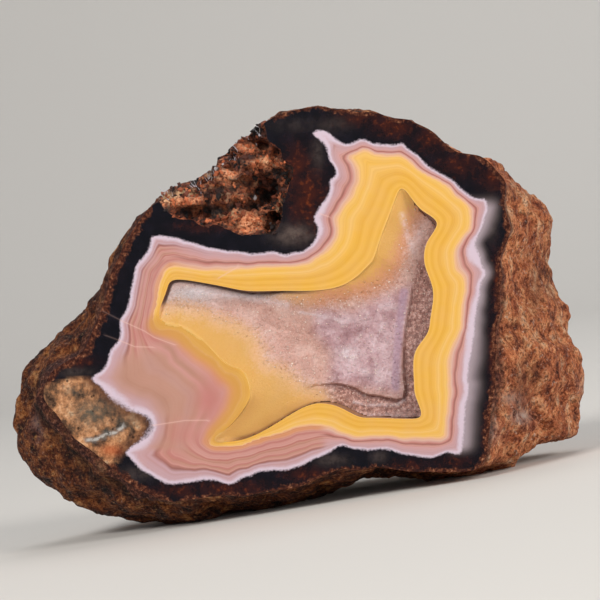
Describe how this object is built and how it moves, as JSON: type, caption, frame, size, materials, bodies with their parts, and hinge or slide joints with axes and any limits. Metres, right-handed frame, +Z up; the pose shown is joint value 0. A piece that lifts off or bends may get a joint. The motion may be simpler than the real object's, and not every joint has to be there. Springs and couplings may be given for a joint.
{
  "type": "polished agate nodule half",
  "caption": "Half of a banded agate nodule, cut flat and polished, with a crystal-lined pocket and a rough rind; it stands on a small flat spot.",
  "frame": {"origin": "centre of the bounding box's base, on the surface that the stone stands on", "axes": "+X along the stone's length, to the right seen from the front; -Y towards the polished cut face, which leans back by 8 degrees; +Z up"},
  "size_m": [0.0776, 0.0382, 0.0528],
  "materials": {
    "agate": "cut face polished glossy, with bands of white, pink, rose and yellow inside a dark rim; rind weathered and matt",
    "quartz_druse": "glittering lilac crust of tiny quartz crystals"
  },
  "bodies": {
    "root": {"agate_nodule": "agate", "quartz_crust": "quartz_druse"}
  },
  "joints": []
}
